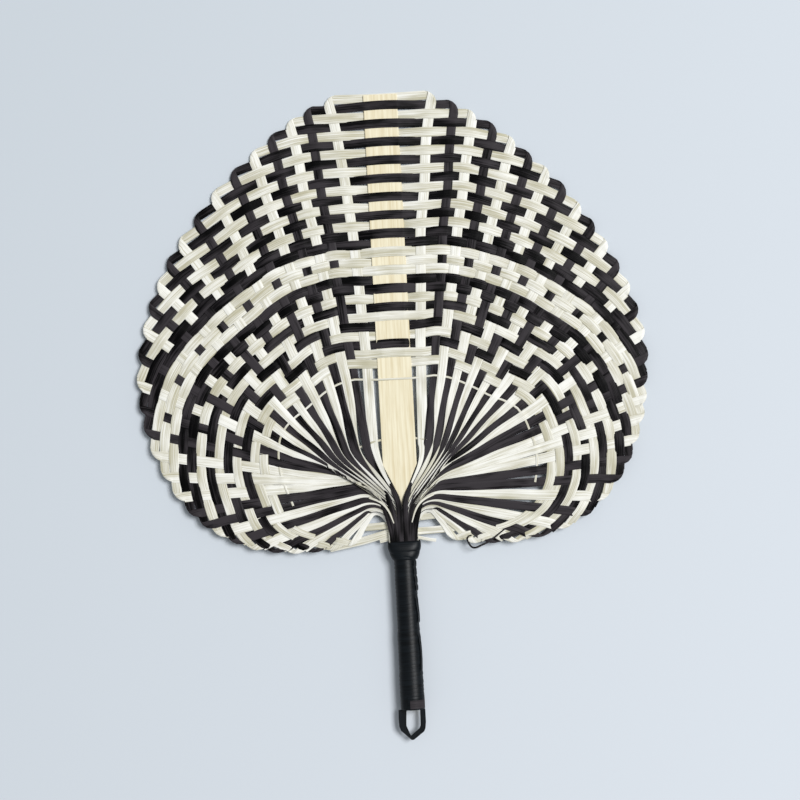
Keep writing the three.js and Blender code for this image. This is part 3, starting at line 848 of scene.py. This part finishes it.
inner_curve = (
    np.array((0.0, inner_top)),
    np.array((2 * first_bend[0], inner_top)),
    last_bend + (0.0385, 0.022),
    last_bend + (0.0105, -0.005),
)
inner_right = [cubic(inner_curve, way) for way in np.linspace(0, 1, 61)]
inner_points = [point * (-1, 1) for point in reversed(inner_right[1:])] + inner_right
inner_heights = []
for x, _ in inner_points:
    beside_slat = eased((abs(x) - slat_half_width) / 0.002)
    over_first = beside_slat * (1 - eased((abs(x) - first_strip_beyond) / 0.003))
    inner_heights.append(mixed(inner_behind, inner_over, over_first))
add_splint("inner_splint", inner_points, inner_heights, 17.0, "splint_inner")


# Neck
# Some of the black strips come round to the front of the neck and lie flat on the rest, side by
# side, down into the collar. Between them a natural strip shows its edge on each side.
laid_step = 0.001
smoothed_over = 7


def add_laid_strip(name, points, heights, halves, colour, seed):
    """A flat strip through a few points of the blade's plane, smoothed between them."""
    places = distances(points)
    ways = np.linspace(0, places[-1], max(8, int(places[-1] / laid_step)))
    centres = np.column_stack([np.interp(ways, places, values) for values in (*zip(*points), heights)])
    margin = smoothed_over // 2
    kernel = np.ones(smoothed_over) / smoothed_over
    for axis in range(3):
        centres[margin:-margin, axis] = np.convolve(centres[:, axis], kernel, "valid")
    stations = laid_stations(centres, np.interp(ways, places, halves))
    mesh = strip_mesh(name, stations, strip_thickness, seed, blade_place)
    fitted(name, mesh, bamboos[colour], "fan", [])


# Right of the slat: the front strips' points and height at the neck, then the edge's points
neck_fronts = (
    (((0.0064, 0.0355), (0.0043, 0.0295), (0.0020, 0.0240), (0.0017, 0.0140), (0.0016, -0.0095)), 0.0022),
    (((0.0100, 0.0325), (0.0080, 0.0258), (0.0061, 0.0187), (0.0048, 0.0110), (0.0039, -0.0095)), 0.0024),
    (((0.0136, 0.0285), (0.0111, 0.0215), (0.0087, 0.0137), (0.0071, 0.0060), (0.0056, -0.0095)), 0.0021),
)
front_halves = (0.0007, 0.0016, 0.0018, 0.0018, 0.0015)
neck_edge = ((0.020, 0.0275), (0.0125, 0.0245), (0.0082, 0.0190), (0.0056, 0.0110))
edge_heights = (0.0010, 0.0024, 0.0031, 0.0027)
edge_halves = (0.0006, 0.0007, 0.0006, 0.0003)
for side, side_name in ((1, "right"), (-1, "left")):
    for number, (points, height) in enumerate(neck_fronts, start=1):
        add_laid_strip(
            f"neck_front_{side_name}_{number}", [(x * side, y) for x, y in points],
            (0.0004, 0.0017, height, height, height), front_halves, "black", 37.0 + 3 * number + side,
        )
    add_laid_strip(
        f"neck_edge_{side_name}", [(x * side, y) for x, y in neck_edge],
        edge_heights, edge_halves, "natural", 60.0 + side,
    )


# Tucked ends
# Cut ends of natural strips that were tucked in behind the others stick out on both sides of the
# neck. They lie a little lower than the rest.
tucked_ends = (
    ((-0.0459, -0.0025), (-0.0250, 0.0010), (-0.0065, 0.0056), 0.0024),
    ((-0.0282, 0.0092), (-0.0180, 0.0093), (-0.0065, 0.0100), 0.0022),
    ((-0.0148, 0.0000), (-0.0110, 0.0008), (-0.0065, 0.0020), 0.0011),
    ((0.0110, 0.0138), (0.0200, 0.0144), (0.0310, 0.0149), 0.0020),
    ((0.0085, 0.0052), (0.0230, 0.0056), (0.0369, 0.0064), 0.0022),
    ((0.0090, 0.0015), (0.0150, -0.0002), (0.0200, -0.0010), 0.0010),
)
tucked_heights = (-0.0010, -0.0006, -0.0008)
for number, (*points, half) in enumerate(tucked_ends, start=1):
    add_laid_strip(
        f"tucked_end_{number}", points, tucked_heights, [half] * 3, "natural", 68.0 + 2 * number,
    )


# Loose fold
# One black fold of the right lobe was never pulled tight. It stands out below the edge and shows
# as a thin open bow.
loose_points = ((0.0420, 0.0010), (0.0380, 0.0000), (0.0420, -0.0078), (0.0532, -0.0032), (0.0630, 0.0040))
loose_heights = (0.0003, 0.0009, 0.0009, 0.0009, 0.0003)
loose_half_widths = (0.0004, 0.0005, 0.0006, 0.0006, 0.0004)
add_laid_strip("loose_fold", loose_points, loose_heights, loose_half_widths, "black", 90.0)


# Handle stick
# A plain bamboo stick inside the winding, slotted for the slat's tang. Only its end can be seen,
# so the solid stays and gets the look of cut bamboo.
stick_wood = bpy.data.materials.new("stick_wood")
stick_wood.use_nodes = True
stick_nodes = stick_wood.node_tree.nodes
stick_links = stick_wood.node_tree.links
stick_shader = stick_nodes["Principled BSDF"]
stick_place = stick_nodes.new("ShaderNodeTexCoord")
stick_stretch = stick_nodes.new("ShaderNodeVectorMath")
stick_stretch.operation = "MULTIPLY"
stick_stretch.inputs[1].default_value = (900, 30, 900)
stick_grain = stick_nodes.new("ShaderNodeTexNoise")
stick_grain.inputs["Scale"].default_value = 1
stick_colour = stick_nodes.new("ShaderNodeMix")
stick_colour.data_type = "RGBA"
stick_colour.inputs["A"].default_value = (0.42, 0.31, 0.14, 1)
stick_colour.inputs["B"].default_value = (0.66, 0.53, 0.29, 1)
stick_links.new(stick_place.outputs["Object"], stick_stretch.inputs[0])
stick_links.new(stick_stretch.outputs[0], stick_grain.inputs["Vector"])
stick_links.new(stick_grain.outputs[0], stick_colour.inputs["Factor"])
stick_links.new(stick_colour.outputs["Result"], stick_shader.inputs["Base Color"])
stick_shader.inputs["Roughness"].default_value = 0.7
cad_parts["handle_core"].data.materials.clear()
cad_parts["handle_core"].data.materials.append(stick_wood)


# Handle winding
# One glossy black strip wound closely down the stick, with a second lap of it over the lower half
# and a third near the end. Its first and last turns lie level, under the collar and the end band.
black_lacquer = cut_and_planed(
    "black_lacquer", pale=(0.007, 0.010, 0.013), dark=(0.001, 0.0015, 0.002), fibres_across=2400,
    roughness=0.38, bump=0.5, tone_spread=0.30, shine=0.17,
)
_, winding_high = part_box("handle_winding")
winding_thickness = 0.00035
winding_crown = 0.15
turn_pitch = 0.00248
winding_half_width = turn_pitch * 0.56
winding_top = winding_high.y + 0.0016
winding_bottom = band_low.y + 0.0045
winding_turns = int((winding_top - winding_bottom) / turn_pitch)
winding_lean = 0.10
level_turn = 0.7
turn_steps = 36
uneven = 0.00009
winding_hand = random.Random(21)
tightness = [winding_hand.uniform(-uneven, uneven) for turn in range(winding_turns + 3)]

# Half width and half depth at the top and at the bottom, and where each further lap starts
grip_half_widths = (0.00655, 0.0068)
grip_half_depths = (0.00575, 0.00585)
further_laps = ((-0.1340, 0.0003), (-0.1575, 0.0002))
lap_ease = 0.0016


def grip_reach(y):
    """Half width and half depth of the wound handle at a place along it."""
    way = (winding_top - y) / (winding_top - winding_bottom)
    lap = sum(thickness * eased((start - y) / lap_ease) for start, thickness in further_laps)
    return mixed(*grip_half_widths, way) + lap, mixed(*grip_half_depths, way) + lap / 2


def round_handle(angle, half_width, half_depth, y):
    """Point on an oval round the handle's middle line; the angle starts at the right side."""
    return np.array((half_width * math.cos(angle), y, handle_height + half_depth * math.sin(angle)))


def add_wound(name, stations, thickness, seed, replaced, crown=0.5, material=black_lacquer):
    """A black strip on the handle, through stations that are already in their places."""
    mesh = strip_mesh(name, stations, thickness, seed, Matrix.Identity(4), crown)
    fitted(name, mesh, material, "fan", replaced)


winding_stations = []
for step in range(winding_turns * turn_steps + 1):
    turn = step / turn_steps
    angle = 2 * math.pi * turn
    whole_turn = int(turn)
    ease = mixed(tightness[whole_turn], tightness[whole_turn + 1], eased(turn - whole_turn))
    y = winding_top - turn_pitch * (min(max(turn - level_turn, 0), winding_turns - 2 * level_turn) + 0.5)
    reach_x, reach_z = grip_reach(y)
    centre = round_handle(angle, reach_x + ease, reach_z + ease, y)
    leaning = unit(np.array((math.cos(angle) * winding_lean, -1.0, math.sin(angle) * winding_lean)))
    winding_stations.append((centre, leaning, winding_half_width, no_bulge))
add_wound("winding", winding_stations, winding_thickness, 5.0, ["handle_winding"], winding_crown)


# Side strip
# A strip laid along the right side of the handle, caught under some turns of the winding and over
# others. It shows in three stretches, and the first is pressed down where turns cross it.
side_stretches = ((-0.0885, -0.1090, 4), (-0.1115, -0.1285, 0), (-0.1345, -0.1590, 0))
side_angle = math.radians(28)
side_rise = 0.00065
side_sunk = 0.00025
side_above_grip = 0.0002
side_pressed = 0.0004
side_sway = 0.10
side_steps = 60
side_half_width = 0.0015
side_narrower = 0.0002
for index, (first_y, last_y, crossings) in enumerate(side_stretches):
    stations = []
    for way in np.linspace(0, 1, side_steps):
        y = mixed(first_y, last_y, way)
        reach_x, reach_z = grip_reach(y)
        lift = side_rise * min(eased(way / 0.1), eased((1 - way) / 0.1)) - side_sunk
        if crossings:
            lift -= side_pressed * max(0.0, math.cos(2 * math.pi * crossings * way)) ** 2
        angle = side_angle + side_sway * math.sin(5 * way + index)
        out_x, out_z = (reach + lift + side_above_grip for reach in (reach_x, reach_z))
        across = unit(np.array((-reach_x * math.sin(angle), 0, reach_z * math.cos(angle))))
        half = side_half_width - side_narrower * index
        stations.append((round_handle(angle, out_x, out_z, y), across, half, no_bulge))
    add_wound(f"side_strip_{index + 1}", stations, winding_thickness, 30.0 + index, [])


# Collar
# The same black strip wound a little over twice round the neck, where the strips of the blade go
# down beside the tang. The turns bulge, lap each other and close down onto the handle's top.
collar_thickness = 0.00042
collar_bulge = 0.0004
collar_turns = 2.25
collar_start = 0.25 * math.pi
round_steps = 48

# The neck's half width and half depth at depths below the collar's top
collar_depths = (0.0, 0.0025, 0.0055, 0.0090, 0.0120)
collar_half_widths = (0.0090, 0.0093, 0.0090, 0.0080, 0.0070)
collar_half_depths = (0.0029, 0.0034, 0.0043, 0.0054, 0.0059)

# Depths of the strip's upper and lower edge, in the first turn and in the last
collar_edges = ((0.0055, 0.0003), (0.0118, 0.0067))
collar_lowest = collar_edges[1][0]


def collar_point(angle, depth, grown_by):
    """Point on the collar: a squarish ring at its top that gets rounder towards the handle."""
    squareness = mixed(0.55, 0.9, min(depth / collar_lowest, 1))
    cosine = math.copysign(abs(math.cos(angle)) ** squareness, math.cos(angle))
    sine = math.copysign(abs(math.sin(angle)) ** squareness, math.sin(angle))
    half_width = np.interp(depth, collar_depths, collar_half_widths) + grown_by
    half_depth = np.interp(depth, collar_depths, collar_half_depths) + grown_by
    return np.array((half_width * cosine, collar_high.y - depth, handle_height + half_depth * sine))


collar_stations = []
for step in range(int(collar_turns * round_steps) + 1):
    turn = step / round_steps
    angle = 2 * math.pi * turn + collar_start
    raised = eased((turn - 0.9) / 0.5)
    grown_by = 0.0001 + 0.00045 * turn
    upper, lower = (collar_point(angle, mixed(*edge, raised), grown_by) for edge in collar_edges)
    middle = (upper + lower) / 2
    span = lower - upper
    outward = unit(np.array((math.cos(angle), 0, math.sin(angle))))
    collar_stations.append((middle, unit(span), np.linalg.norm(span) / 2, outward * collar_bulge))
add_wound("collar", collar_stations, collar_thickness, 8.0, ["collar_binding"])


# End band
# A wider black strip round the handle's end, over the last turns of the winding, which grips the
# ends of the hanging loop. Its own end is folded flat across the front.
band_middle = (band_low.y + band_high.y) / 2
band_thickness = 0.0004
band_half_width = 0.0042
band_reach = (0.0070, 0.00595)
band_growth = 0.0003
band_turns = 1.7
band_start = -0.75 * math.pi
flap_half_width = 0.0026
flap_reach = (0.0080, 0.0068)
flap_lower = 0.0008
flap_angles = (101, 22)
down_handle = np.array((0.0, -1.0, 0.0))
band_stations = []
for step in range(int(band_turns * round_steps) + 1):
    turn = step / round_steps
    half_width, half_depth = (reach + band_growth * turn for reach in band_reach)
    centre = round_handle(2 * math.pi * turn + band_start, half_width, half_depth, band_middle)
    band_stations.append((centre, down_handle, band_half_width, no_bulge))
add_wound("end_wrap", band_stations, band_thickness, 13.0, ["end_band"], winding_crown)
flap_stations = []
for way in np.linspace(0, 1, 24):
    angle = math.radians(mixed(*flap_angles, way))
    centre = round_handle(angle, *flap_reach, band_middle - flap_lower)
    flap_stations.append((centre, down_handle, flap_half_width, no_bulge))
add_wound("end_flap", flap_stations, winding_thickness, 14.0, [], material=bamboos["black"])


# Hanging loop
# A flat black strip folded to a point, so that its right arm lies on the left one at the tip.
# Both arms go up into the end band, and lie on the loop's own body.
loop_low, loop_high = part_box("hanging_loop")
loop_root = (0, loop_high.y, (loop_low.z + loop_high.z) / 2)
arm_thickness = 0.0004
arm_edge_round = 0.00012
arm_lift = 0.00022
left_arm = (
    (-0.0040, 0.0), (-0.0044, -0.0060), (-0.0046, -0.0100), (-0.0023, -0.0160), (-0.0008, -0.0176),
    (-0.0013, -0.0189), (-0.0026, -0.0182), (-0.0082, -0.0130), (-0.0091, -0.0100), (-0.0092, -0.0050),
    (-0.0090, 0.0),
)
right_arm = (
    (0.0076, 0.0), (0.0076, -0.0080), (0.0071, -0.0120), (0.0062, -0.0140), (-0.0004, -0.0189),
    (-0.0018, -0.0190), (-0.0030, -0.0178), (-0.0021, -0.0162), (0.0034, -0.0118), (0.0042, -0.0100),
    (0.0043, 0.0),
)
for name, outline, lift in (("loop_left_arm", left_arm, -arm_lift), ("loop_right_arm", right_arm, arm_lift)):
    arm_mesh = outline_plate(name, outline, arm_thickness, arm_edge_round, seed=9.0)
    arm_mesh.transform(Matrix.Translation(loop_root) @ Matrix.Translation((0, 0, lift)))
    fitted(name, arm_mesh, black_lacquer, "loop", ["hanging_loop"])


# Floor
# A plain pale blue-grey surface that the fan lies on. Painted light makes it a little brighter
# towards the picture's lower right corner.
floor_half = 3.0
floor_corners = [(x * floor_half, y * floor_half, 0) for x, y in ((-1, -1), (1, -1), (1, 1), (-1, 1))]
floor_mesh = bpy.data.meshes.new("floor")
floor_mesh.from_pydata(floor_corners, [], [(0, 1, 2, 3)])
floor = bpy.data.objects.new("floor", floor_mesh)
scene.collection.objects.link(floor)
paper = bpy.data.materials.new("pale_surface")
paper.use_nodes = True
paper_nodes = paper.node_tree.nodes
paper_links = paper.node_tree.links
paper_shader = paper_nodes["Principled BSDF"]
paper_place = paper_nodes.new("ShaderNodeTexCoord")
# The colour's rise towards the lower right is painted light.
painted_light_direction = paper_nodes.new("ShaderNodeVectorMath")
painted_light_direction.operation = "DOT_PRODUCT"
painted_light_direction.inputs[1].default_value = (0.7, -0.7, 0)
painted_light_ramp = paper_nodes.new("ShaderNodeMapRange")
painted_light_ramp.inputs["From Min"].default_value = -0.33
painted_light_ramp.inputs["From Max"].default_value = 0.33
paper_colour = paper_nodes.new("ShaderNodeMix")
paper_colour.data_type = "RGBA"
paper_colour.inputs["A"].default_value = (0.60, 0.65, 0.70, 1)
paper_colour.inputs["B"].default_value = (0.69, 0.735, 0.79, 1)
paper_links.new(paper_place.outputs["Object"], painted_light_direction.inputs[0])
paper_links.new(painted_light_direction.outputs["Value"], painted_light_ramp.inputs["Value"])
paper_links.new(painted_light_ramp.outputs[0], paper_colour.inputs["Factor"])
paper_links.new(paper_colour.outputs["Result"], paper_shader.inputs["Base Color"])
paper_shader.inputs["Roughness"].default_value = 0.9
floor_mesh.materials.append(paper)


# Light
# Soft daylight from the right and a little above, so that the shadow falls to the left, and an
# even pale surround.
key_data = bpy.data.lights.new("window", "AREA")
key_data.shape = "SQUARE"
key_data.size = 2.6
key_data.energy = 365
key = bpy.data.objects.new("window", key_data)
key.location = (3.0, 1.2, 5.6)
key.rotation_euler = Vector(key.location).to_track_quat("Z", "Y").to_euler()
scene.collection.objects.link(key)
world = bpy.data.worlds.new("daylight")
world.use_nodes = True
world.node_tree.nodes["Background"].inputs["Color"].default_value = (0.93, 0.97, 1.0, 1)
world.node_tree.nodes["Background"].inputs["Strength"].default_value = 0.33
scene.world = world
scene.view_settings.view_transform = "Standard"
